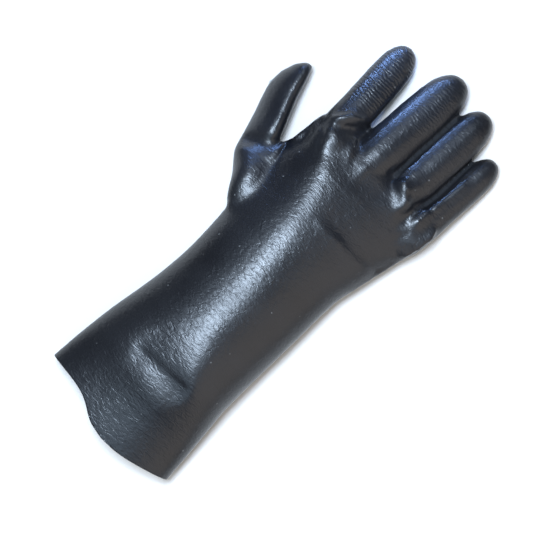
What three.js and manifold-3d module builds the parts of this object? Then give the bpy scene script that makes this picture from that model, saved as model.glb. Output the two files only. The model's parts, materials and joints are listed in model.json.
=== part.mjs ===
// A right-hand work glove of pvc coated knit with a long gauntlet cuff, lying palm down.
// The fingertips point along +X, the thumb lies at +Y and the back of the hand faces +Z.
// Lengths are in millimetres. The origin is under the middle of the glove, on the surface it lies on.
import * as THREE from 'three';
import { mergeVertices } from 'three/addons/utils/BufferGeometryUtils.js';
import Module from 'manifold-3d';

const wasm = await Module();
wasm.setup();

// The coated wall, which is the same all over
const WALL = 1.8;

// The gauntlet runs from its mouth to the wrist, and the palm from the wrist to the finger webs
const GAUNTLET_LENGTH = 166.5;
const CUFF_WIDTH = 118;
const ARM_HEIGHT = 56;
const PALM_LENGTH = 104;
const PALM_WIDTH = 118;
const PALM_HEIGHT = 48;

// How far the mouth's edge stands out past its thumb-side corner, and how far up the arm that is felt
const CUFF_REACH = 15.5;
const CUFF_EASE = 48;

// The digits' lengths run from their roots inside the hand to their tips
const THUMB_LENGTH = 131.5;
const THUMB_WIDTH = 25.4;
const THUMB_THICKNESS = 25;
const INDEX_LENGTH = 104;
const INDEX_WIDTH = 27.6;
const INDEX_THICKNESS = 22.5;
const MIDDLE_LENGTH = 115;
const MIDDLE_WIDTH = 32.6;
const MIDDLE_THICKNESS = 24.5;
const RING_LENGTH = 112;
const RING_WIDTH = 29.4;
const RING_THICKNESS = 23;
const LITTLE_LENGTH = 97;
const LITTLE_WIDTH = 23.4;
const LITTLE_THICKNESS = 20;

// The deepest fold in the coating
const FOLD_DEPTH = 3;

// How finely the skins are faceted over the back of the arm, along its underside and around a digit
const BACK_FACETS = 26;
const UNDERSIDE_FACETS = 10;
const DIGIT_FACETS = 16;

// How softly the hand's skin runs over the roots of the digits, and how far it stands above them
const ROOT_BLEND = 5;
const ROOT_COVER = 0.4;

// The arm's sections. at is a share of GAUNTLET_LENGTH. thumbSide, littleSide and crest are shares of
// CUFF_WIDTH from the middle line, and top, waist and under are shares of ARM_HEIGHT. thumbSlope and
// littleSlope say how peaked the back is on either side. rings is the number of facets to the next row.
// Where under lies below the surface that the glove rests on, the underside is pressed flat.
const ARM_SECTIONS = [
  { at: 0.00, thumbSide: 0.500, littleSide: 0.500, crest: -0.08, top: 0.76, waist: 0.34, under: -0.04,
    thumbSlope: 0.95, littleSlope: 0.95, rings: 3 },
  { at: 0.12, thumbSide: 0.490, littleSide: 0.482, crest: -0.08, top: 0.81, waist: 0.36, under: -0.04,
    thumbSlope: 0.95, littleSlope: 0.95, rings: 4 },
  { at: 0.26, thumbSide: 0.472, littleSide: 0.458, crest: -0.09, top: 0.93, waist: 0.40, under: -0.04,
    thumbSlope: 1.00, littleSlope: 1.00, rings: 3 },
  { at: 0.36, thumbSide: 0.454, littleSide: 0.442, crest: -0.10, top: 0.99, waist: 0.42, under: -0.04,
    thumbSlope: 1.05, littleSlope: 1.00, rings: 2 },
  { at: 0.54, thumbSide: 0.416, littleSide: 0.438, crest: -0.06, top: 0.99, waist: 0.42, under: -0.04,
    thumbSlope: 1.08, littleSlope: 1.05, rings: 3 },
  { at: 0.74, thumbSide: 0.400, littleSide: 0.438, crest: -0.04, top: 0.96, waist: 0.42, under: -0.04,
    thumbSlope: 1.12, littleSlope: 1.05, rings: 3 },
];

// The hand's sections, with the same columns as shares of PALM_LENGTH, PALM_WIDTH and PALM_HEIGHT
const HAND_SECTIONS = [
  { at: 0.00, thumbSide: 0.425, littleSide: 0.438, crest: 0.010, top: 1.07, waist: 0.44, under: -0.045,
    thumbSlope: 1.20, littleSlope: 1.05, rings: 3 },
  { at: 0.16, thumbSide: 0.440, littleSide: 0.464, crest: 0.035, top: 1.05, waist: 0.40, under: -0.045,
    thumbSlope: 1.35, littleSlope: 1.05, rings: 3 },
  { at: 0.30, thumbSide: 0.458, littleSide: 0.489, crest: 0.060, top: 1.01, waist: 0.36, under: -0.045,
    thumbSlope: 1.50, littleSlope: 1.08, rings: 3 },
  { at: 0.41, thumbSide: 0.476, littleSide: 0.510, crest: 0.085, top: 0.98, waist: 0.34, under: -0.045,
    thumbSlope: 1.55, littleSlope: 1.10, rings: 2 },
  { at: 0.48, thumbSide: 0.478, littleSide: 0.523, crest: 0.110, top: 0.96, waist: 0.34, under: -0.045,
    thumbSlope: 1.45, littleSlope: 1.12, rings: 1 },
  { at: 0.52, thumbSide: 0.462, littleSide: 0.530, crest: 0.130, top: 0.95, waist: 0.34, under: -0.045,
    thumbSlope: 1.38, littleSlope: 1.12, rings: 1 },
  { at: 0.57, thumbSide: 0.442, littleSide: 0.537, crest: 0.150, top: 0.94, waist: 0.34, under: -0.03,
    thumbSlope: 1.30, littleSlope: 1.12, rings: 3 },
  { at: 0.70, thumbSide: 0.432, littleSide: 0.558, crest: 0.190, top: 0.87, waist: 0.33, under: 0.02,
    thumbSlope: 1.10, littleSlope: 1.12, rings: 3 },
  { at: 0.82, thumbSide: 0.420, littleSide: 0.552, crest: 0.190, top: 0.78, waist: 0.36, under: 0.08,
    thumbSlope: 1.00, littleSlope: 1.10, rings: 2 },
  { at: 0.90, thumbSide: 0.375, littleSide: 0.440, crest: 0.170, top: 0.66, waist: 0.40, under: 0.18,
    thumbSlope: 1.00, littleSlope: 1.05, rings: 1 },
  { at: 0.955, thumbSide: 0.310, littleSide: 0.270, crest: 0.140, top: 0.56, waist: 0.41, under: 0.26,
    thumbSlope: 1.00, littleSlope: 1.00, rings: 1 },
  { at: 0.99, thumbSide: 0.230, littleSide: 0.080, crest: 0.110, top: 0.49, waist: 0.42, under: 0.33,
    thumbSlope: 1.00, littleSlope: 1.00, rings: 1 },
];

// The mouth's edge seen from above. at is the place across the mouth, from -1 at the little-finger
// side to 1 at the thumb side, and reach is a share of CUFF_REACH.
const CUFF_EDGE = [
  { at: -1.00, reach: 0.26 },
  { at: -0.85, reach: 0.52 },
  { at: -0.64, reach: 0.77 },
  { at: -0.42, reach: 0.95 },
  { at: -0.20, reach: 1.00 },
  { at: 0.05, reach: 0.93 },
  { at: 0.22, reach: 0.74 },
  { at: 0.32, reach: 0.54 },
  { at: 0.44, reach: 0.28 },
  { at: 0.60, reach: 0.12 },
  { at: 0.78, reach: 0.03 },
  { at: 1.00, reach: 0.00 },
];
const UNDERSIDE_REACH = 0.55;

// A finger from its root to its tip. at is a share of its length, wide of its width, thick of its
// thickness and lift of the height at which its knuckle is held. crest is as in the arm's sections.
const FINGER_SECTIONS = [
  { at: 0.00, aside: 0, wide: 0.70, thick: 0.70, lift: 1.00, crest: 0, rings: 1 },
  { at: 0.12, aside: 0, wide: 0.98, thick: 1.06, lift: 1.04, crest: 0, rings: 2 },
  { at: 0.30, aside: 0, wide: 1.04, thick: 1.10, lift: 0.98, crest: 0, rings: 2 },
  { at: 0.45, aside: 0, wide: 1.00, thick: 1.03, lift: 0.80, crest: 0, rings: 2 },
  { at: 0.60, aside: 0, wide: 1.00, thick: 1.02, lift: 0.54, crest: 0, rings: 2 },
  { at: 0.75, aside: 0, wide: 0.98, thick: 0.98, lift: 0.25, crest: 0, rings: 2 },
  { at: 0.87, aside: 0, wide: 0.90, thick: 0.92, lift: 0.05, crest: 0, rings: 1 },
  { at: 0.93, aside: 0, wide: 0.73, thick: 0.78, lift: -0.02, crest: 0, rings: 1 },
  { at: 0.97, aside: 0, wide: 0.52, thick: 0.58, lift: -0.04, crest: 0, rings: 1 },
  { at: 0.99, aside: 0, wide: 0.30, thick: 0.34, lift: -0.05, crest: 0, rings: 1 },
];

// The thumb, with the same columns. aside is a share of its width, away from its straight line.
const THUMB_SECTIONS = [
  { at: 0.00, aside: 0.00, wide: 0.60, thick: 0.80, lift: 1.60, crest: 0.00, rings: 1 },
  { at: 0.14, aside: -0.03, wide: 0.88, thick: 1.08, lift: 1.45, crest: 0.00, rings: 2 },
  { at: 0.28, aside: 0.14, wide: 1.00, thick: 1.14, lift: 1.10, crest: -0.05, rings: 2 },
  { at: 0.40, aside: 0.32, wide: 1.09, thick: 1.10, lift: 0.75, crest: -0.12, rings: 3 },
  { at: 0.50, aside: 0.35, wide: 1.02, thick: 1.02, lift: 0.50, crest: -0.18, rings: 2 },
  { at: 0.64, aside: 0.34, wide: 0.97, thick: 0.98, lift: 0.28, crest: -0.22, rings: 2 },
  { at: 0.80, aside: 0.35, wide: 0.92, thick: 0.93, lift: 0.08, crest: -0.20, rings: 2 },
  { at: 0.90, aside: 0.25, wide: 0.76, thick: 0.82, lift: 0.00, crest: -0.12, rings: 1 },
  { at: 0.96, aside: 0.13, wide: 0.50, thick: 0.60, lift: -0.02, crest: -0.05, rings: 1 },
  { at: 0.985, aside: 0.04, wide: 0.27, thick: 0.36, lift: -0.03, crest: 0.00, rings: 1 },
];

// Where each digit grows out of the hand. ahead is a share of PALM_LENGTH past the wrist and aside a
// share of PALM_WIDTH. heading is in degrees toward the thumb, sway bends the tip sideways by a share
// of the digit's width, and lift is a share of PALM_HEIGHT under the knuckle. covered is the share of
// its length over which the hand's skin runs.
const DIGITS = [
  { sections: THUMB_SECTIONS, length: THUMB_LENGTH, width: THUMB_WIDTH, thickness: THUMB_THICKNESS,
    ahead: -0.17, aside: 0.300, heading: 20.8, sway: 0.00, lift: 0.12,
    covered: 0.42 },
  { sections: FINGER_SECTIONS, length: INDEX_LENGTH, width: INDEX_WIDTH, thickness: INDEX_THICKNESS,
    ahead: 0.575, aside: 0.272, heading: 2.8, sway: 0.09, lift: 0.36,
    covered: 0.29 },
  { sections: FINGER_SECTIONS, length: MIDDLE_LENGTH, width: MIDDLE_WIDTH, thickness: MIDDLE_THICKNESS,
    ahead: 0.575, aside: 0.026, heading: -1.5, sway: -0.06, lift: 0.31,
    covered: 0.28 },
  { sections: FINGER_SECTIONS, length: RING_LENGTH, width: RING_WIDTH, thickness: RING_THICKNESS,
    ahead: 0.560, aside: -0.236, heading: -2.8, sway: 0.03, lift: 0.25,
    covered: 0.27 },
  { sections: FINGER_SECTIONS, length: LITTLE_LENGTH, width: LITTLE_WIDTH, thickness: LITTLE_THICKNESS,
    ahead: 0.520, aside: -0.458, heading: -3.2, sway: 0.00, lift: 0.19,
    covered: 0.28 },
];

// Folds in the gauntlet. Each runs straight between two places, given as shares of GAUNTLET_LENGTH and
// CUFF_WIDTH. rise is a share of FOLD_DEPTH, and spread is the fold's half width as a share of it.
const ARM_FOLDS = [
  { fromAhead: 0.32, fromAside: 0.14, toAhead: 0.28, toAside: -0.17, rise: -0.80, spread: 2.2 },
  { fromAhead: 0.31, fromAside: -0.20, toAhead: 0.40, toAside: -0.15, rise: 0.50, spread: 3.2 },
  { fromAhead: 0.22, fromAside: 0.02, toAhead: 0.20, toAside: -0.14, rise: 0.45, spread: 3.2 },
];

// Folds in the hand, as shares of PALM_LENGTH and PALM_WIDTH: across its back behind the knuckles, at
// the root of the thumb, and at the roots of the index, ring and little fingers
const HAND_FOLDS = [
  { fromAhead: 0.365, fromAside: -0.05, toAhead: 0.355, toAside: -0.46, rise: -0.85, spread: 1.3 },
  { fromAhead: 0.305, fromAside: -0.08, toAhead: 0.300, toAside: -0.44, rise: 0.45, spread: 1.5 },
  { fromAhead: 0.345, fromAside: 0.63, toAhead: 0.470, toAside: 0.48, rise: -1.00, spread: 1.4 },
  { fromAhead: 0.285, fromAside: 0.60, toAhead: 0.370, toAside: 0.50, rise: 0.55, spread: 1.8 },
  { fromAhead: 0.820, fromAside: 0.34, toAhead: 0.950, toAside: 0.27, rise: 0.95, spread: 1.3 },
  { fromAhead: 0.840, fromAside: 0.23, toAhead: 0.930, toAside: 0.17, rise: -1.00, spread: 1.8 },
  { fromAhead: 0.780, fromAside: 0.43, toAhead: 0.725, toAside: 0.32, rise: -0.60, spread: 1.3 },
  { fromAhead: 0.790, fromAside: -0.30, toAhead: 0.940, toAside: -0.18, rise: 0.75, spread: 1.5 },
  { fromAhead: 0.760, fromAside: -0.25, toAhead: 0.870, toAside: -0.14, rise: -0.60, spread: 1.4 },
  { fromAhead: 0.720, fromAside: -0.42, toAhead: 0.920, toAside: -0.43, rise: 0.55, spread: 1.4 },
  { fromAhead: 0.750, fromAside: -0.36, toAhead: 0.900, toAside: -0.37, rise: -0.70, spread: 1.3 },
];

// Reads one column of a table at a place between its rows, on a smooth curve through them
function readColumn(rows, column, place) {
  const last = rows.length - 1;
  let row = 0;
  while (row < last - 1 && rows[row + 1].at < place) {
    row += 1;
  }
  const before = rows[Math.max(row - 1, 0)];
  const start = rows[row];
  const end = rows[row + 1];
  const after = rows[Math.min(row + 2, last)];
  const span = end.at - start.at;
  const t = THREE.MathUtils.clamp((place - start.at) / span, 0, 1);
  const startSlope = (end[column] - before[column]) / (end.at - before.at) * span;
  const endSlope = (after[column] - start[column]) / (after.at - start.at) * span;
  const rise = end[column] - start[column];
  const bend = 3 * rise - 2 * startSlope - endSlope;
  const twist = startSlope + endSlope - 2 * rise;
  return start[column] + t * (startSlope + t * (bend + t * twist));
}

// The places along a table at which rings of vertices stand
function ringPlaces(rows) {
  const places = [];
  rows.forEach((row, index) => {
    const next = rows[index + 1];
    const steps = next ? row.rings : 1;
    for (let step = 0; step < steps; step += 1) {
      places.push(next ? row.at + (next.at - row.at) * step / steps : row.at);
    }
  });
  return places;
}

// One table for arm and hand, in millimetres
function bodySections() {
  const sized = (row, start, length, width, height) => ({
    ...row,
    at: start + row.at * length,
    thumbSide: row.thumbSide * width,
    littleSide: -row.littleSide * width,
    crest: row.crest * width,
    top: row.top * height,
    waist: row.waist * height,
    under: row.under * height,
  });
  const arm = ARM_SECTIONS.map((row) => sized(row, 0, GAUNTLET_LENGTH, CUFF_WIDTH, ARM_HEIGHT));
  const hand = HAND_SECTIONS.map((row) => sized(row, GAUNTLET_LENGTH, PALM_LENGTH, PALM_WIDTH, PALM_HEIGHT));
  return [...arm, ...hand];
}

// A place on a section's edge. A section is flat below and domed above, with its crest to one side.
function sectionPlace(section, angle) {
  const across = Math.cos(angle);
  const up = Math.sin(angle);
  const side = across > 0 ? section.thumbSide : section.littleSide;
  const slope = across > 0 ? section.thumbSlope : section.littleSlope;
  if (up >= 0) {
    return {
      aside: section.crest + Math.abs(across) * (side - section.crest),
      lift: section.waist + (section.top - section.waist) * up ** slope,
    };
  }
  return {
    aside: section.crest + Math.abs(across) ** 0.8 * (side - section.crest),
    lift: section.waist - (section.waist - section.under) * (-up) ** 0.65,
  };
}

// How far all folds together lift a place on the back of the glove
function foldLift(x, y) {
  const place = new THREE.Vector2(x, y);
  let lift = 0;
  const addFolds = (folds, start, length, width) => {
    for (const fold of folds) {
      const from = new THREE.Vector2(start + fold.fromAhead * length, fold.fromAside * width);
      const run = new THREE.Vector2(start + fold.toAhead * length, fold.toAside * width).sub(from);
      const share = THREE.MathUtils.clamp(place.clone().sub(from).dot(run) / run.lengthSq(), 0, 1);
      const gap = place.distanceTo(from.addScaledVector(run, share));
      lift += fold.rise * FOLD_DEPTH * Math.exp(-((gap / (fold.spread * FOLD_DEPTH)) ** 2));
    }
  };
  addFolds(ARM_FOLDS, 0, GAUNTLET_LENGTH, CUFF_WIDTH);
  addFolds(HAND_FOLDS, GAUNTLET_LENGTH, PALM_LENGTH, PALM_WIDTH);
  return lift;
}

// Presses the folds into a place, but not into the half that the glove lies on
function folded(x, y, z) {
  const share = THREE.MathUtils.smoothstep(z, 0.2 * PALM_HEIGHT, 0.5 * PALM_HEIGHT);
  const lifted = z + foldLift(x, y) * share;
  return new THREE.Vector3(x, y, Math.max(lifted, 0));
}

// The angles of the points around a ring, finer over the back than along the underside
function ringAngles() {
  const back = Array.from({ length: BACK_FACETS }, (_, index) => index / BACK_FACETS * Math.PI);
  const under = Array.from({ length: UNDERSIDE_FACETS }, (_, index) => (1 + index / UNDERSIDE_FACETS) * Math.PI);
  return [...back, ...under];
}

// A digit's root, its direction seen from above and the direction across it
function digitFrame(digit) {
  const heading = THREE.MathUtils.degToRad(digit.heading);
  return {
    root: new THREE.Vector2(GAUNTLET_LENGTH + digit.ahead * PALM_LENGTH, digit.aside * PALM_WIDTH),
    ahead: new THREE.Vector2(Math.cos(heading), Math.sin(heading)),
    sideways: new THREE.Vector2(-Math.sin(heading), Math.cos(heading)),
  };
}

// A digit's section at a share of its length, in millimetres
function digitSection(digit, place) {
  const read = (column) => readColumn(digit.sections, column, place);
  return {
    aside: (read('aside') + digit.sway * place * place) * digit.width,
    halfWidth: read('wide') * digit.width / 2,
    halfThickness: read('thick') * digit.thickness / 2,
    height: read('lift') * digit.lift * PALM_HEIGHT + digit.thickness / 2,
    crest: read('crest'),
  };
}

// The hand's skin over the roots of the digits: where a digit's back stands higher, the skin follows it
function overRoots(x, y, lift) {
  let highest = lift;
  for (const digit of DIGITS) {
    const { root, ahead, sideways } = digitFrame(digit);
    const spot = new THREE.Vector2(x, y).sub(root);
    const place = spot.dot(ahead) / digit.length;
    const hold = 1 - THREE.MathUtils.smoothstep(place, digit.covered - 0.08, digit.covered);
    if (place > 0 && hold > 0) {
      const section = digitSection(digit, place);
      const across = THREE.MathUtils.clamp((spot.dot(sideways) - section.aside) / section.halfWidth, -1, 1);
      const back = section.height + section.halfThickness * Math.sqrt(1 - across * across) + ROOT_COVER;
      const held = THREE.MathUtils.lerp(highest - ROOT_BLEND, back, hold);
      const near = Math.max(ROOT_BLEND - Math.abs(highest - held), 0);
      highest = Math.max(highest, held) + near * near / (4 * ROOT_BLEND);
    }
  }
  return highest;
}

// The rings of the arm and hand, from the mouth to a last ring between the finger roots
function bodyRings() {
  const sections = bodySections();
  const columns = ['thumbSide', 'littleSide', 'crest', 'top', 'waist', 'under', 'thumbSlope', 'littleSlope'];
  return ringPlaces(sections).map((place) => {
    const section = Object.fromEntries(columns.map((name) => [name, readColumn(sections, name, place)]));
    const ease = Math.max(1 - place / CUFF_EASE, 0) ** 2;
    return ringAngles().map((angle) => {
      const { aside, lift } = sectionPlace(section, angle);
      const across = aside > 0 ? aside / section.thumbSide : -aside / section.littleSide;
      const depth = THREE.MathUtils.smoothstep(lift, 0, section.waist * 1.4);
      const layer = THREE.MathUtils.lerp(UNDERSIDE_REACH, 1, depth);
      const reach = readColumn(CUFF_EDGE, 'reach', across) * CUFF_REACH * layer * ease;
      const onBack = Math.sin(angle) > 0 ? overRoots(place, aside, lift) : lift;
      return folded(place - reach, aside, onBack);
    });
  });
}

// The rings of one digit, from its root to the last ring before its tip
function digitRings(digit) {
  const { root, ahead, sideways } = digitFrame(digit);
  return ringPlaces(digit.sections).map((place) => {
    const section = digitSection(digit, place);
    const middle = root.clone().addScaledVector(ahead, place * digit.length);
    middle.addScaledVector(sideways, section.aside);
    return Array.from({ length: DIGIT_FACETS }, (_, index) => {
      const angle = index / DIGIT_FACETS * 2 * Math.PI;
      const out = Math.cos(angle);
      const across = section.crest + Math.abs(out) * (Math.sign(out) - section.crest);
      const spot = middle.clone().addScaledVector(sideways, across * section.halfWidth);
      return folded(spot.x, spot.y, section.height + Math.sin(angle) * section.halfThickness);
    });
  });
}

// The middle of a ring
function middleOf(ring) {
  return ring.reduce((sum, point) => sum.add(point), new THREE.Vector3()).divideScalar(ring.length);
}

// A last point ahead of the last ring, which rounds the end off
function tipOf(rings, ahead) {
  return middleOf(rings[rings.length - 1]).add(ahead);
}

// Moves every point of the rings inward by the wall, square to the skin
function innerRings(rings) {
  const sides = rings[0].length;
  return rings.map((ring, row) => ring.map((point, side) => {
    const before = rings[Math.max(row - 1, 0)][side];
    const after = rings[Math.min(row + 1, rings.length - 1)][side];
    const left = ring[(side + sides - 1) % sides];
    const right = ring[(side + 1) % sides];
    const along = after.clone().sub(before);
    const around = right.clone().sub(left);
    const inward = along.cross(around).normalize();
    return point.clone().addScaledVector(inward, WALL);
  }));
}

// A closed solid from rings, with a point at either end
function solidFrom(rings, start, tip) {
  const sides = rings[0].length;
  const points = [...rings.flat(), start, tip];
  const startIndex = points.length - 2;
  const tipIndex = points.length - 1;
  const indices = [];
  for (let side = 0; side < sides; side += 1) {
    const next = (side + 1) % sides;
    indices.push(startIndex, next, side);
    for (let row = 0; row < rings.length - 1; row += 1) {
      const here = row * sides;
      const there = here + sides;
      indices.push(here + side, here + next, there + next);
      indices.push(here + side, there + next, there + side);
    }
    const final = (rings.length - 1) * sides;
    indices.push(final + side, final + next, tipIndex);
  }
  const vertProperties = new Float32Array(points.flatMap((point) => point.toArray()));
  const triVerts = new Uint32Array(indices);
  return new wasm.Manifold(new wasm.Mesh({ numProp: 3, vertProperties, triVerts }));
}

// The arm and hand without digits. The hollow inside it runs out past the mouth.
function bodySolid(hollow) {
  const outer = bodyRings();
  const tip = tipOf(outer, new THREE.Vector3(0.012 * PALM_LENGTH, 0, 0));
  if (!hollow) {
    return solidFrom(outer, middleOf(outer[0]), tip);
  }
  const inner = innerRings(outer);
  const past = inner[0].map((point) => point.clone().setX(point.x - CUFF_REACH));
  const innerTip = tip.clone().sub(new THREE.Vector3(WALL, 0, 0));
  return solidFrom([past, ...inner], middleOf(past), innerTip);
}

// One digit, closed at its tip, and its root inside the hand
function digitSolid(digit, hollow) {
  const frame = digitFrame(digit);
  const ahead = new THREE.Vector3(frame.ahead.x, frame.ahead.y, 0);
  const outer = digitRings(digit);
  const tip = tipOf(outer, ahead.clone().multiplyScalar(0.01 * digit.length));
  const start = middleOf(outer[0]);
  if (!hollow) {
    return solidFrom(outer, start, tip);
  }
  return solidFrom(innerRings(outer), start.addScaledVector(ahead, WALL), tip.addScaledVector(ahead, -WALL));
}

// The whole glove as one solid, either its outside or the hollow inside it
function gloveSolid(hollow) {
  let whole = bodySolid(hollow);
  for (const digit of DIGITS) {
    whole = whole.add(digitSolid(digit, hollow));
  }
  return whole;
}

// A mesh in the glove's coating from a finished solid
function coatedMesh(name, solid) {
  const { vertProperties, triVerts, numProp } = solid.getMesh();
  const positions = new Float32Array(triVerts.length * 3);
  triVerts.forEach((vertex, index) => {
    positions.set(vertProperties.subarray(vertex * numProp, vertex * numProp + 3), index * 3);
  });
  const geometry = new THREE.BufferGeometry();
  geometry.setAttribute('position', new THREE.BufferAttribute(positions, 3));
  const coating = new THREE.MeshStandardMaterial({ color: 0x14171c, roughness: 0.35, metalness: 0 });
  coating.name = 'pvc_coating';
  const mesh = new THREE.Mesh(mergeVertices(geometry), coating);
  mesh.name = name;
  return mesh;
}

const shell = coatedMesh('glove_shell', gloveSolid(false).subtract(gloveSolid(true)));

// Sets the origin under the middle of the glove
shell.geometry.computeBoundingBox();
const box = shell.geometry.boundingBox;
const centre = box.getCenter(new THREE.Vector3());
shell.geometry.translate(-centre.x, -centre.y, -box.min.z);

const glove = new THREE.Group();
glove.name = 'pvc_coated_work_glove';
glove.add(shell);

export default glove;
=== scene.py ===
import json
import math

import bpy
import numpy as np
from mathutils import Matrix, Vector
from mathutils.bvhtree import BVHTree

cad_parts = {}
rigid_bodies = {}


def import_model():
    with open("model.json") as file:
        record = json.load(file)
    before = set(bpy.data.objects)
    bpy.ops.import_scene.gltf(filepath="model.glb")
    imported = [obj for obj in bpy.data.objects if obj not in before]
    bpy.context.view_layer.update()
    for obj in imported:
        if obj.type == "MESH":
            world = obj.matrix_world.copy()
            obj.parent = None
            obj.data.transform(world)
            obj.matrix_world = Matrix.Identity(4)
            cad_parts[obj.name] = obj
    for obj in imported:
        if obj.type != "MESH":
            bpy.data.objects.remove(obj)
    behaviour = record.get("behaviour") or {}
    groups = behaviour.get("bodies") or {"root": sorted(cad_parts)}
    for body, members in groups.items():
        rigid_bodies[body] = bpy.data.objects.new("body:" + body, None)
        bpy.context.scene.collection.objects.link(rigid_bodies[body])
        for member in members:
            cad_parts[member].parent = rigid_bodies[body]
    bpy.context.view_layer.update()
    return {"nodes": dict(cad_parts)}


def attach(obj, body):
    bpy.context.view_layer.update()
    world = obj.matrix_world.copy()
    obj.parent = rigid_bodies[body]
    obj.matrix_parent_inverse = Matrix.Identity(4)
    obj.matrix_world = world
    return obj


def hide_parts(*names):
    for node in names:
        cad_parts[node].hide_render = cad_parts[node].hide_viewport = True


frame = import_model()


# The coated shell is the whole glove: a knitted hand liner is pulled over a former and dipped in liquid
# vinyl, which sets as one seamless skin from the cuff's cut edge to the fingertips. It keeps the form of
# the former, and takes soft folds where the roots of the fingers bend and where the sleeve was packed flat.
SKIN_GRAIN = 0.00135
SKIN_THICKNESS = 0.0018
SAME_POINT = 0.000002
RIM_BEFORE_X = -0.145
RIM_TURNED_BACK = -0.62

for shown in bpy.context.selected_objects:
    shown.select_set(False)

coated_glove = bpy.data.objects.new("coated_glove", frame["nodes"]["glove_shell"].data.copy())
bpy.context.scene.collection.objects.link(coated_glove)
bpy.context.view_layer.objects.active = coated_glove
coated_glove.select_set(True)
coated_glove.data.materials.clear()

# The outer skin alone is kept: the cut edge's faces go first, and then the inner wall
bpy.ops.mesh.customdata_custom_splitnormals_clear()
bpy.ops.object.mode_set(mode="EDIT")
bpy.ops.mesh.select_all(action="SELECT")
bpy.ops.mesh.remove_doubles(threshold=SAME_POINT)
bpy.ops.mesh.select_all(action="DESELECT")
bpy.ops.object.mode_set(mode="OBJECT")
for face in coated_glove.data.polygons:
    face.select = face.normal.x < RIM_TURNED_BACK and face.center.x < RIM_BEFORE_X
bpy.ops.object.mode_set(mode="EDIT")
bpy.ops.mesh.delete(type="FACE")
bpy.ops.mesh.select_all(action="DESELECT")
bpy.ops.object.mode_set(mode="OBJECT")
lowest = min(coated_glove.data.vertices, key=lambda point: point.co.z)
lowest.select = True
bpy.ops.object.mode_set(mode="EDIT")
bpy.ops.mesh.select_linked()
bpy.ops.mesh.select_all(action="INVERT")
bpy.ops.mesh.delete(type="VERT")


def select_open_edges():
    bpy.ops.mesh.select_mode(type="EDGE")
    bpy.ops.mesh.select_all(action="DESELECT")
    bpy.ops.mesh.select_non_manifold(extend=False, use_wire=False, use_multi_face=False, use_verts=False)


# The cut edge of the cuff is kept as how far it reaches at each angle round the mouth
EDGE_WAVES = 7

select_open_edges()
bpy.ops.object.mode_set(mode="OBJECT")
cut_edge = np.array([point.co[:] for point in coated_glove.data.vertices if point.select])
mouth_middle = (cut_edge.min(axis=0) + cut_edge.max(axis=0)) / 2


def edge_waves(points):
    angle = np.arctan2(points[:, 2] - mouth_middle[2], points[:, 1] - mouth_middle[1])
    waves = [np.ones_like(angle)]
    for count in range(1, EDGE_WAVES + 1):
        waves += [np.cos(count * angle), np.sin(count * angle)]
    return np.stack(waves, axis=1)


edge_shape = np.linalg.lstsq(edge_waves(cut_edge), cut_edge[:, 0], rcond=None)[0]


def cuff_reach(points):
    return edge_waves(points) @ edge_shape


# Middle, ring and little finger lie against each other, so their sides are pressed together along a line
TOUCHING = [
    {"from_x": 0.098, "to_x": 0.152, "y": -0.0275},
    {"from_x": 0.098, "to_x": 0.146, "y": -0.0570},
]
PRESSED_REACH = 0.007
PRESSED_BY = 0.0011

for point in coated_glove.data.vertices:
    for line in TOUCHING:
        away = line["y"] - point.co.y
        if line["from_x"] < point.co.x < line["to_x"] and abs(away) < PRESSED_REACH:
            point.co.y += math.copysign(PRESSED_BY * (1 - abs(away) / PRESSED_REACH), away)

# The mouth is drawn out and closed, so that the skin can be laid anew as an even, fine mesh
CUFF_SPARE = 0.016

bpy.ops.object.mode_set(mode="EDIT")
select_open_edges()
bpy.ops.mesh.extrude_region_move(TRANSFORM_OT_translate={"value": (-CUFF_SPARE, 0, 0)})
mouth_end = (cut_edge[:, 0].min() - CUFF_SPARE, 0, 0)
bpy.ops.transform.resize(value=(0, 1, 1), center_override=mouth_end)
bpy.ops.mesh.edge_face_add()
bpy.ops.mesh.select_all(action="SELECT")
bpy.ops.mesh.normals_make_consistent(inside=False)
bpy.ops.mesh.select_mode(type="VERT")
bpy.ops.object.mode_set(mode="OBJECT")
coated_glove.data.remesh_voxel_size = SKIN_GRAIN
coated_glove.data.remesh_voxel_adaptivity = 0
coated_glove.data.use_remesh_fix_poles = False
bpy.ops.object.voxel_remesh()


def skin_points():
    points = np.empty(len(coated_glove.data.vertices) * 3)
    coated_glove.data.vertices.foreach_get("co", points)
    return points.reshape(-1, 3)


def move_skin(points):
    coated_glove.data.vertices.foreach_set("co", points.ravel())
    coated_glove.data.update()


def skin_normals():
    normals = np.empty(len(coated_glove.data.vertices) * 3, np.float32)
    coated_glove.data.vertex_normals.foreach_get("vector", normals)
    return normals.reshape(-1, 3).astype(float)


def skin_edges():
    edges = np.empty(len(coated_glove.data.edges) * 2, np.int64)
    coated_glove.data.edges.foreach_get("vertices", edges)
    return edges.reshape(-1, 2)


def neighbour_counts(points, edges):
    return np.bincount(edges.ravel(), minlength=len(points)).astype(float)[:, None]


def neighbour_sums(points, edges):
    total = np.zeros_like(points)
    for axis in range(3):
        total[:, axis] += np.bincount(edges[:, 0], points[edges[:, 1], axis], minlength=len(points))
        total[:, axis] += np.bincount(edges[:, 1], points[edges[:, 0], axis], minlength=len(points))
    return total


# The dip runs smooth over the former: each pass relaxes the skin and then gives its fullness back
FLOW_IN = 0.5
FLOW_OUT = -0.52


def let_skin_flow(points, passes):
    edges = skin_edges()
    count = neighbour_counts(points, edges)
    for turn in range(passes * 2):
        pull = FLOW_IN if turn % 2 == 0 else FLOW_OUT
        points = points + (neighbour_sums(points, edges) / count - points) * pull
    return points


# The first flow takes out the solid's facets and leaves the broad form
FIRST_FLOW = 60

skin = let_skin_flow(skin_points(), FIRST_FLOW)

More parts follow.
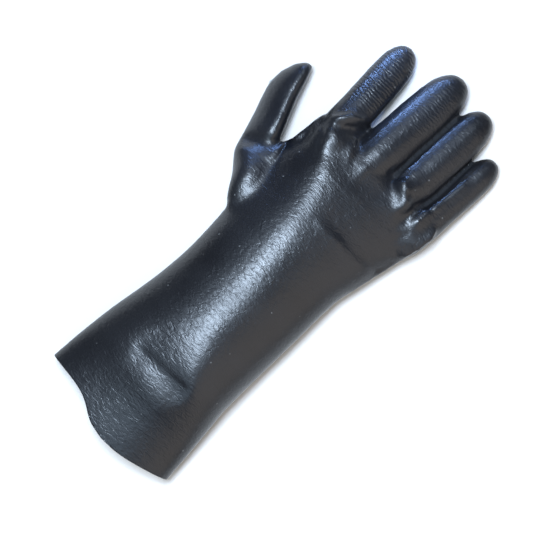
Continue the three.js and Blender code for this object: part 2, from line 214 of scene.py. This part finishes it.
# Where the dip pools, in the forks of the fingers, at the ball of the thumb and in front of the cuff, it
# fills the sharp corners. Places and reaches are in millimetres in the glove's own frame.
POOL_STRENGTH = 1.3
POOLS = [
    {"at": (38, 41), "reach": 19, "passes": 110},
    {"at": (28, 38), "reach": 16, "passes": 60},
    {"at": (46, 30), "reach": 12, "passes": 30},
    {"at": (-112, -12), "reach": 34, "passes": 130},
    {"at": (48, -22), "reach": 18, "passes": 90},
    {"at": (46, -44), "reach": 18, "passes": 50},
    {"at": (86, -66), "reach": 15, "passes": 45},
    {"at": (86, -42), "reach": 12, "passes": 25},
    {"at": (80, 36), "reach": 12, "passes": 30},
    {"at": (102, 8), "reach": 9, "passes": 15},
]


def comes_in(value, start, over):
    return np.clip((value - start) / over, 0, 1)


def goes_out(value, end, over):
    return np.clip((end - value) / over, 0, 1)


def ease(share):
    share = np.clip(share, 0, 1)
    return share * share * (3 - 2 * share)


def pool_the_dip(points, pools):
    edges = skin_edges()
    count = neighbour_counts(points, edges)
    for pool in pools:
        away = np.hypot(points[:, 0] - pool["at"][0] / 1000, points[:, 1] - pool["at"][1] / 1000)
        share = ease(POOL_STRENGTH - POOL_STRENGTH * away / (pool["reach"] / 1000))[:, None]
        near = np.flatnonzero(share[:, 0] > 0)
        close = edges[np.isin(edges, near).any(axis=1)]
        for _ in range(pool["passes"]):
            total = neighbour_sums(points, close)
            points[near] += (total[near] / count[near] - points[near]) * FLOW_IN * share[near]
    return points


skin = pool_the_dip(skin, POOLS)
skin[:, 2] = np.maximum(skin[:, 2], 0)
move_skin(skin)

# The thumb lies turned in towards the palm, so its crest is nearer to the index finger. The lean fades
# out at the thumb's root, tip and sides, and its underside stays on the table.
THUMB_LINE = [Vector((0.040, 0.054)), Vector((0.106, 0.074))]
THUMB_LEAN = 0.46
THUMB_HALF_WIDTH = 0.014

skin = skin_points()
thumb_run = THUMB_LINE[1] - THUMB_LINE[0]
thumb_way = thumb_run.normalized()
from_root = skin[:, :2] - np.array(THUMB_LINE[0])
along_thumb = from_root @ np.array(thumb_way) / thumb_run.length
across_thumb = from_root @ np.array((-thumb_way.y, thumb_way.x))
on_thumb = comes_in(along_thumb, -0.1, 0.25) * goes_out(along_thumb, 1.12, 0.2)
on_thumb *= goes_out(abs(across_thumb), THUMB_HALF_WIDTH * 1.25, THUMB_HALF_WIDTH * 0.25)
upper_half = comes_in(skin[:, 2], 0.008, 0.006)
skin[:, 2] -= THUMB_LEAN * across_thumb * on_thumb * upper_half

# The sleeve sinks a little towards its mouth, where the arm no longer rounds it out
SINKS_FROM_X = -0.116
SINKS_OVER = 0.062
SINKS_BY = 0.0045

sunk = goes_out(skin[:, 0], SINKS_FROM_X, SINKS_OVER)
skin[:, 2] -= SINKS_BY * sunk ** 1.3 * comes_in(skin[:, 2], 0.012, 0.03)
move_skin(skin)

# The folds, each a line over the back of the glove, in millimetres in the glove's own frame: how far it
# rises or sinks, and how wide it is on the right of the line, which is near, and on its left, which is far.
# In order: the crease in front of the cuff, the long ridge of the arm, the swell behind the knuckles and
# the faint crease across the hand, the lip, furrow and small fold at the index finger's root, the three
# ridges at the roots of the outer fingers, the crease of the thumb's root, the two ridges of its ball, and
# the two seams where fingers touch, with how wide their crevice is.
FOLDS = [
    {"line": [(-116, 14), (-115, -4), (-114, -18), (-112, -39)], "rise": -1.2, "near": 12, "far": 4},
    {"line": [(-116, -27), (-64, -16), (-14, -11), (35, -4), (62, 5), (76, 15), (84, 22)],
     "rise": 1.0, "near": 18, "far": 18},
    {"line": [(93, 5), (86, 17), (79, 29)], "rise": 2.3, "near": 4.5, "far": 13},
    {"line": [(45, -19), (42, -40), (39, -64)], "rise": 0.25, "near": 3.0, "far": 1.8},
    {"line": [(87, 34), (94, 27.5), (101, 22.3), (109, 10.6)], "rise": 1.6, "near": 1.5, "far": 2.8},
    {"line": [(88, 27), (97, 16.5), (107, 4)], "rise": -1.4, "near": 4.0, "far": 1.6},
    {"line": [(84, 42), (79.5, 33), (77, 24)], "rise": 0.9, "near": 3.0, "far": 1.2},
    {"line": [(84, -53), (90, -44), (99, -33)], "rise": 2.3, "near": 3.0, "far": 6.5},
    {"line": [(76, -60), (88, -61.5), (104, -64), (134, -67)], "rise": 1.3, "near": 3.0, "far": 3.0},
    {"line": [(96, -61), (89, -62), (80, -62)], "rise": 1.7, "near": 3.5, "far": 4.5},
    {"line": [(38, 67), (46, 56), (55, 43)], "rise": -2.4, "near": 7.0, "far": 1.8},
    {"line": [(-8, 41), (4, 43), (16, 45), (28, 47), (36, 48)], "rise": 4.6, "near": 7.0, "far": 6.0},
    {"line": [(8, 34), (22, 37), (34, 40), (46, 43), (56, 45)], "rise": 2.2, "near": 4.5, "far": 6.0},
    {"line": [(96, -28), (108, -27.8), (120, -27.9), (132, -28.7), (144, -29), (154, -29.4)],
     "rise": -2.5, "near": 1.1, "far": 1.1, "crevice": 1.8},
    {"line": [(94, -56.5), (102, -58), (108, -58.7), (132, -58.7), (146, -59.2)],
     "rise": -2.5, "near": 1.1, "far": 1.1, "crevice": 1.8},
]


def set_folds(points):
    normals = skin_normals()
    moved = points.copy()
    crevice = np.zeros(len(points))
    over_the_back = comes_in(normals[:, 2], 0.05, 0.5)
    for fold in FOLDS:
        line = np.array(fold["line"], float) / 1000
        spans = np.hypot(*(line[1:] - line[:-1]).T)
        starts = np.concatenate([[0], np.cumsum(spans)])
        best_gap = np.full(len(points), 1.0)
        best_side = np.ones(len(points))
        best_place = np.zeros(len(points))
        for index in range(len(line) - 1):
            along = (line[index + 1] - line[index]) / spans[index]
            away = points[:, :2] - line[index]
            reach = np.clip(away @ along, 0, spans[index])
            offset = away - reach[:, None] * along
            gap = np.hypot(offset[:, 0], offset[:, 1])
            side = np.sign(along[0] * away[:, 1] - along[1] * away[:, 0])
            nearer = gap < best_gap
            best_gap[nearer] = gap[nearer]
            best_side[nearer] = side[nearer]
            best_place[nearer] = (starts[index] + reach[nearer]) / starts[-1]
        width = np.where(best_side > 0, fold["far"], fold["near"]) / 1000
        ends = ease(np.minimum(best_place, 1 - best_place) * 5 + 0.05)
        height = fold["rise"] / 1000 * np.exp(-((best_gap / width) ** 2)) * ends * over_the_back
        moved += normals * height[:, None]
        if "crevice" in fold:
            crevice = np.maximum(crevice, np.exp(-((best_gap * 1000 / fold["crevice"]) ** 4)))
    return moved, crevice


skin, crevice = set_folds(skin_points())

# The folds run out softly at the ball of the thumb and over the roots of the outer fingers
LAST_FLOW = 5
RUN_OUTS = [
    {"at": (20, 40), "reach": 26, "passes": 50},
    {"at": (40, 50), "reach": 20, "passes": 22},
    {"at": (84, -58), "reach": 14, "passes": 14},
]
move_skin(pool_the_dip(let_skin_flow(skin, LAST_FLOW), RUN_OUTS))

# Dust and dried residue stay in the crevices between the fingers, which are dull from it
settled = coated_glove.data.attributes.new("crevice", "FLOAT", "POINT")
settled.data.foreach_set("value", crevice.astype(np.float32))

# The far half of the index finger is wrinkled across in fine rings, and the middle finger a little
RINGED = [
    {"from": (112, 27), "to": (168, 31), "half_width": 17, "share": 1.0},
    {"from": (128, -8), "to": (168, -8), "half_width": 15, "share": 0.4},
]
skin = skin_points()
ringed = np.zeros(len(skin))
for finger in RINGED:
    start = np.array(finger["from"]) / 1000
    run = np.array(finger["to"]) / 1000 - start
    along = (skin[:, :2] - start) @ run / (run @ run)
    gap = np.hypot(*(skin[:, :2] - start - np.clip(along, 0, 1)[:, None] * run).T) * 1000
    in_rings = comes_in(along, -0.1, 0.25) * goes_out(gap, finger["half_width"], 3)
    ringed = np.maximum(ringed, finger["share"] * in_rings)
wrinkled = coated_glove.data.attributes.new("ring_wrinkles", "FLOAT", "POINT")
wrinkled.data.foreach_set("value", ringed.astype(np.float32))

# The cuff is trimmed along its cut edge: the edge is straightened, cut across and let back
CUT_GAUGE = 0.00001
SLIVER = 0.0001

skin = skin_points()
skin[:, 0] -= cuff_reach(skin)
move_skin(skin)
bpy.ops.object.mode_set(mode="EDIT")
bpy.ops.mesh.select_all(action="SELECT")
bpy.ops.mesh.bisect(plane_co=(0, 0, 0), plane_no=(1, 0, 0), clear_inner=True, threshold=CUT_GAUGE)
bpy.ops.mesh.select_all(action="SELECT")
bpy.ops.mesh.remove_doubles(threshold=SLIVER)
bpy.ops.object.mode_set(mode="OBJECT")
skin = skin_points()
skin[:, 0] += cuff_reach(skin)
move_skin(skin)

# The wall: a copy of the skin with fewer facets is drawn in by the skin's thickness and turned to face
# the hand, and the two are joined round the cut edge, which the copy never passes. Where fingers touch
# and the hollow behind the skin is narrow, the copy is drawn in by less.
INNER_FACETS = 0.2
OFF_THE_SKIN = 0.0002
WIDEST_LOOK = 0.02
SHARE_OF_NARROW = 0.4

outer_faces = len(coated_glove.data.polygons)
skin_tree = BVHTree.FromObject(coated_glove, bpy.context.evaluated_depsgraph_get())
bpy.ops.object.duplicate()
inner_face = bpy.context.view_layer.objects.active
fewer = inner_face.modifiers.new("fewer_facets", "DECIMATE")
fewer.ratio = INNER_FACETS
bpy.ops.object.modifier_apply(modifier=fewer.name)
inner_normals = [Vector(turn.vector) for turn in inner_face.data.vertex_normals]
cut_at = cuff_reach(np.array([tuple(point.co) for point in inner_face.data.vertices]))
for point, normal, cut_x in zip(inner_face.data.vertices, inner_normals, cut_at):
    clear_way = skin_tree.ray_cast(point.co - normal * OFF_THE_SKIN, -normal, WIDEST_LOOK)[3]
    point.co -= normal * min(SKIN_THICKNESS, SHARE_OF_NARROW * (clear_way or WIDEST_LOOK))
    point.co.x = max(point.co.x, float(cut_x))
bpy.ops.object.mode_set(mode="EDIT")
bpy.ops.mesh.select_all(action="SELECT")
bpy.ops.mesh.flip_normals()
bpy.ops.object.mode_set(mode="OBJECT")
coated_glove.select_set(True)
bpy.context.view_layer.objects.active = coated_glove
bpy.ops.object.join()
for face in coated_glove.data.polygons[outer_faces:]:
    face.material_index = 1
all_faces = len(coated_glove.data.polygons)
bpy.ops.object.mode_set(mode="EDIT")
select_open_edges()
bpy.ops.mesh.bridge_edge_loops()
bpy.ops.object.mode_set(mode="OBJECT")
for face in coated_glove.data.polygons[all_faces:]:
    face.material_index = 0
bpy.ops.object.shade_smooth()


# The vinyl itself: black with a faint blue, satin from the dip, with a fine crinkle that runs across
# the arm where the skin shrank on the knit under it, a little dust, and duller where hands have rubbed.
def shader_node(tree, kind, place, **settings):
    node = tree.nodes.new(kind)
    node.location = place
    for name, value in settings.items():
        setattr(node, name, value)
    return node


vinyl = bpy.data.materials.new("black_vinyl_dip")
vinyl.use_nodes = True
tree = vinyl.node_tree
tree.nodes.clear()
join = tree.links.new
surface = shader_node(tree, "ShaderNodeOutputMaterial", (900, 0))
coat = shader_node(tree, "ShaderNodeBsdfPrincipled", (600, 0))
coat.inputs["IOR"].default_value = 1.5
coat.inputs["Specular IOR Level"].default_value = 0.55
join(coat.outputs["BSDF"], surface.inputs["Surface"])
place = shader_node(tree, "ShaderNodeTexCoord", (-1400, 0))

# The crinkle: short ridges a little over two millimetres apart, longer across the arm than along it
across = shader_node(tree, "ShaderNodeMapping", (-1200, -300))
across.inputs["Scale"].default_value = (1.0, 0.42, 0.55)
join(place.outputs["Object"], across.inputs["Vector"])
crinkle = shader_node(tree, "ShaderNodeTexNoise", (-950, -300))
crinkle.inputs["Scale"].default_value = 390
crinkle.inputs["Detail"].default_value = 2.2
crinkle.inputs["Roughness"].default_value = 0.55
crinkle.inputs["Distortion"].default_value = 1.2
join(across.outputs["Vector"], crinkle.inputs["Vector"])
soft_sag = shader_node(tree, "ShaderNodeTexNoise", (-950, -600))
soft_sag.inputs["Scale"].default_value = 75
soft_sag.inputs["Detail"].default_value = 2
join(place.outputs["Object"], soft_sag.inputs["Vector"])
sag_bump = shader_node(tree, "ShaderNodeBump", (100, -500))
sag_bump.inputs["Strength"].default_value = 0.15
sag_bump.inputs["Distance"].default_value = 0.0012
join(soft_sag.outputs["Fac"], sag_bump.inputs["Height"])
crinkle_bump = shader_node(tree, "ShaderNodeBump", (320, -400))
crinkle_bump.inputs["Strength"].default_value = 0.5
crinkle_bump.inputs["Distance"].default_value = 0.0007
join(crinkle.outputs["Fac"], crinkle_bump.inputs["Height"])
join(sag_bump.outputs["Normal"], crinkle_bump.inputs["Normal"])
rings = shader_node(tree, "ShaderNodeTexWave", (-950, -900), bands_direction="X")
rings.inputs["Scale"].default_value = 125
rings.inputs["Distortion"].default_value = 7
rings.inputs["Detail"].default_value = 1.5
rings.inputs["Detail Scale"].default_value = 1.2
join(place.outputs["Object"], rings.inputs["Vector"])
on_fingers = shader_node(tree, "ShaderNodeAttribute", (-950, -1200), attribute_name="ring_wrinkles")
ring_height = shader_node(tree, "ShaderNodeMath", (-600, -1000), operation="MULTIPLY")
join(rings.outputs["Fac"], ring_height.inputs[0])
join(on_fingers.outputs["Fac"], ring_height.inputs[1])
ring_bump = shader_node(tree, "ShaderNodeBump", (540, -300))
ring_bump.inputs["Strength"].default_value = 0.4
ring_bump.inputs["Distance"].default_value = 0.0005
join(ring_height.outputs["Value"], ring_bump.inputs["Height"])
join(crinkle_bump.outputs["Normal"], ring_bump.inputs["Normal"])
join(ring_bump.outputs["Normal"], coat.inputs["Normal"])

# The black, lifted a little by handling marks in broad soft patches
patches = shader_node(tree, "ShaderNodeTexNoise", (-950, 300))
patches.inputs["Scale"].default_value = 22
patches.inputs["Detail"].default_value = 5
join(place.outputs["Object"], patches.inputs["Vector"])
black = shader_node(tree, "ShaderNodeValToRGB", (-650, 300))
black.color_ramp.elements[0].position = 0.3
black.color_ramp.elements[0].color = (0.0045, 0.005, 0.007, 1)
black.color_ramp.elements[1].position = 0.72
black.color_ramp.elements[1].color = (0.009, 0.0095, 0.012, 1)
join(patches.outputs["Fac"], black.inputs["Fac"])
specks = shader_node(tree, "ShaderNodeTexVoronoi", (-950, 560))
specks.inputs["Scale"].default_value = 95
join(place.outputs["Object"], specks.inputs["Vector"])
dust = shader_node(tree, "ShaderNodeMapRange", (-650, 560))
dust.inputs["From Min"].default_value = 0.035
dust.inputs["From Max"].default_value = 0.065
dust.inputs["To Min"].default_value = 1
dust.inputs["To Max"].default_value = 0
join(specks.outputs["Distance"], dust.inputs["Value"])
dusted = shader_node(tree, "ShaderNodeMix", (-300, 300), data_type="RGBA")
dusted.inputs["B"].default_value = (0.11, 0.11, 0.11, 1)
join(dust.outputs["Result"], dusted.inputs["Factor"])
join(black.outputs["Color"], dusted.inputs["A"])
join(dusted.outputs["Result"], coat.inputs["Base Color"])
rubbed = shader_node(tree, "ShaderNodeMapRange", (-650, 60))
rubbed.inputs["From Min"].default_value = 0.3
rubbed.inputs["From Max"].default_value = 0.7
rubbed.inputs["To Min"].default_value = 0.3
rubbed.inputs["To Max"].default_value = 0.38
join(patches.outputs["Fac"], rubbed.inputs["Value"])
in_crevice = shader_node(tree, "ShaderNodeAttribute", (-650, -120), attribute_name="crevice")
dulled = shader_node(tree, "ShaderNodeMix", (-300, 60), data_type="FLOAT")
dulled.inputs["B"].default_value = 0.95
join(in_crevice.outputs["Fac"], dulled.inputs["Factor"])
join(rubbed.outputs["Result"], dulled.inputs["A"])
join(dulled.outputs["Result"], coat.inputs["Roughness"])
coated_glove.data.materials.append(vinyl)


# The knitted liner inside the dip: undyed cotton, knitted in the round in fine ribs. It only shows
# through the mouth of the cuff, where the dip ends at the cut edge.
liner = bpy.data.materials.new("cotton_knit_liner")
liner.use_nodes = True
tree = liner.node_tree
tree.nodes.clear()
join = tree.links.new
surface = shader_node(tree, "ShaderNodeOutputMaterial", (600, 0))
cotton = shader_node(tree, "ShaderNodeBsdfPrincipled", (300, 0))
cotton.inputs["Roughness"].default_value = 0.9
cotton.inputs["Sheen Weight"].default_value = 0.25
join(cotton.outputs["BSDF"], surface.inputs["Surface"])
place = shader_node(tree, "ShaderNodeTexCoord", (-900, 0))
ribs = shader_node(tree, "ShaderNodeTexWave", (-600, -200), bands_direction="Y")
ribs.inputs["Scale"].default_value = 260
ribs.inputs["Distortion"].default_value = 1.5
join(place.outputs["Object"], ribs.inputs["Vector"])
rows = shader_node(tree, "ShaderNodeTexWave", (-600, 100), bands_direction="X")
rows.inputs["Scale"].default_value = 200
rows.inputs["Distortion"].default_value = 2
join(place.outputs["Object"], rows.inputs["Vector"])
stitches = shader_node(tree, "ShaderNodeMix", (-350, -50), data_type="FLOAT")
stitches.inputs["Factor"].default_value = 0.4
join(ribs.outputs["Fac"], stitches.inputs["A"])
join(rows.outputs["Fac"], stitches.inputs["B"])
yarn = shader_node(tree, "ShaderNodeValToRGB", (-100, 150))
yarn.color_ramp.elements[0].color = (0.34, 0.32, 0.28, 1)
yarn.color_ramp.elements[1].color = (0.62, 0.6, 0.55, 1)
join(stitches.outputs["Result"], yarn.inputs["Fac"])
join(yarn.outputs["Color"], cotton.inputs["Base Color"])
knit_bump = shader_node(tree, "ShaderNodeBump", (50, -250))
knit_bump.inputs["Strength"].default_value = 0.6
knit_bump.inputs["Distance"].default_value = 0.0006
join(stitches.outputs["Result"], knit_bump.inputs["Height"])
join(knit_bump.outputs["Normal"], cotton.inputs["Normal"])
coated_glove.data.materials.append(liner)

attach(coated_glove, "root")
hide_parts("glove_shell")


# The table that the glove lies on: a wide white laminate top, dead level and matt. The glove's flattened
# underside rests on it by its own weight, and nothing fastens it.
bpy.ops.object.select_all(action="DESELECT")
bpy.ops.mesh.primitive_plane_add(size=8, location=(0, 0, 0))
table = bpy.context.active_object
table.name = "white_table"
laminate = bpy.data.materials.new("white_laminate")
laminate.use_nodes = True
tree = laminate.node_tree
matt = tree.nodes["Principled BSDF"]
matt.inputs["Base Color"].default_value = (0.8, 0.74, 0.68, 1)
matt.inputs["Roughness"].default_value = 0.75
matt.inputs["Specular IOR Level"].default_value = 0.2
table.data.materials.append(laminate)


# The studio: one broad lamp over the glove and a little towards its thumb, a faint one beyond the
# fingertips, a dim warm one low on the side of the little finger, and a broad faint one over the sleeve.
AIM = Vector((-0.005, -0.01, 0.02))


def hang_lamp(name, direction, distance, size, power, colour):
    lamp = bpy.data.lights.new(name, "AREA")
    lamp.shape = "RECTANGLE"
    lamp.size, lamp.size_y = size
    lamp.energy = power
    lamp.color = colour
    holder = bpy.data.objects.new(name, lamp)
    holder.location = AIM + Vector(direction).normalized() * distance
    holder.rotation_euler = (AIM - holder.location).to_track_quat("-Z", "Y").to_euler()
    holder.visible_camera = False
    bpy.context.scene.collection.objects.link(holder)


hang_lamp("overhead_lamp", (0.02, 0.17, 1.0), 1.6, (0.5, 0.36), 40, (0.66, 0.81, 1.0))
hang_lamp("cool_lamp", (0.55, 0.3, 0.8), 1.5, (0.9, 0.6), 3, (0.7, 0.82, 1.0))
hang_lamp("warm_lamp", (0.0, -0.82, 0.57), 1.5, (2.2, 1.5), 11, (1.0, 0.9, 0.8))
hang_lamp("sleeve_lamp", (-0.45, 0.0, 0.9), 1.7, (1.0, 1.5), 8, (0.6, 0.8, 1.0))


# The blue of a window, let through its panes in two soft pools: on the tips of the index and middle
# finger, and on the thumb's root. Each pane is a small spot, given by how far round and how high it
# stands, in degrees.
PANE_DISTANCE = 1.2
FINGER_POOL = {"target": (0.158, 0.03, 0.02), "pool": 0.041}
THUMB_POOL = {"target": (0.052, 0.056, 0.026), "pool": 0.035}
FINGER_PANES = ((36, 16, 30), (50, 12, 50), (64, 18, 50), (40, 34, 7), (56, 32, 7))
THUMB_PANES = ((34, 10, 22), (50, 8, 22), (42, 24, 22))


def hang_pane(name, target, pool, turn, height, power):
    turn, height = math.radians(turn), math.radians(height)
    way = Vector((math.cos(turn) * math.cos(height), math.sin(turn) * math.cos(height), math.sin(height)))
    lamp = bpy.data.lights.new(name, "SPOT")
    lamp.shadow_soft_size = 0.03
    lamp.spot_size = 2 * math.atan(pool / PANE_DISTANCE)
    lamp.spot_blend = 0.7
    lamp.energy = power
    lamp.color = (0.26, 0.46, 1.0)
    holder = bpy.data.objects.new(name, lamp)
    holder.location = Vector(target) + way * PANE_DISTANCE
    holder.rotation_euler = (-way).to_track_quat("-Z", "Y").to_euler()
    holder.visible_camera = False
    bpy.context.scene.collection.objects.link(holder)


for turn, height, power in FINGER_PANES:
    hang_pane(f"finger_pane_{turn}_{height}", **FINGER_POOL, turn=turn, height=height, power=power)
for turn, height, power in THUMB_PANES:
    hang_pane(f"thumb_pane_{turn}_{height}", **THUMB_POOL, turn=turn, height=height, power=power)


# The room: its walls throw back a little cool light, and stand as plain pale grey behind the table. They
# are painted plaster, far off, so they cast no shadow.
world = bpy.data.worlds.new("studio_walls")
bpy.context.scene.world = world
world.use_nodes = True
tree = world.node_tree
tree.nodes.clear()
join = tree.links.new
sky = shader_node(tree, "ShaderNodeOutputWorld", (400, 0))
walls = shader_node(tree, "ShaderNodeBackground", (0, 100))
walls.inputs["Color"].default_value = (0.9, 0.95, 1.0, 1)
walls.inputs["Strength"].default_value = 0.14
seen = shader_node(tree, "ShaderNodeBackground", (0, -100))
seen.inputs["Color"].default_value = (0.9, 0.9, 0.9, 1)
seen.inputs["Strength"].default_value = 1
eye = shader_node(tree, "ShaderNodeLightPath", (-200, 300))
choose = shader_node(tree, "ShaderNodeMixShader", (200, 0))
join(eye.outputs["Is Camera Ray"], choose.inputs["Fac"])
join(walls.outputs["Background"], choose.inputs[1])
join(seen.outputs["Background"], choose.inputs[2])
join(choose.outputs["Shader"], sky.inputs["Surface"])
bpy.context.scene.view_settings.view_transform = "Standard"


# The camera looks straight down, turned so that the sleeve comes up from the lower left. It stands far
# enough off that the glove's height hardly spreads its outline.
IMAGE_RIGHT = Vector((0.72, -0.694, 0)).normalized()
IMAGE_UP = Vector((0.694, 0.72, 0)).normalized()
VIEW_MIDDLE = Vector((-0.0127, -0.0149, 0.022))
VIEW_WIDTH = 0.378
EYE_HEIGHT = 1.5
SENSOR_WIDTH = 36

camera = bpy.data.objects.new("camera", bpy.data.cameras.new("camera"))
bpy.context.scene.collection.objects.link(camera)
camera.data.sensor_width = SENSOR_WIDTH
camera.data.lens = SENSOR_WIDTH * EYE_HEIGHT / VIEW_WIDTH
turned = Matrix((IMAGE_RIGHT, IMAGE_UP, Vector((0, 0, 1)))).transposed().to_4x4()
camera.matrix_world = Matrix.Translation(VIEW_MIDDLE + Vector((0, 0, EYE_HEIGHT))) @ turned
bpy.context.scene.camera = camera
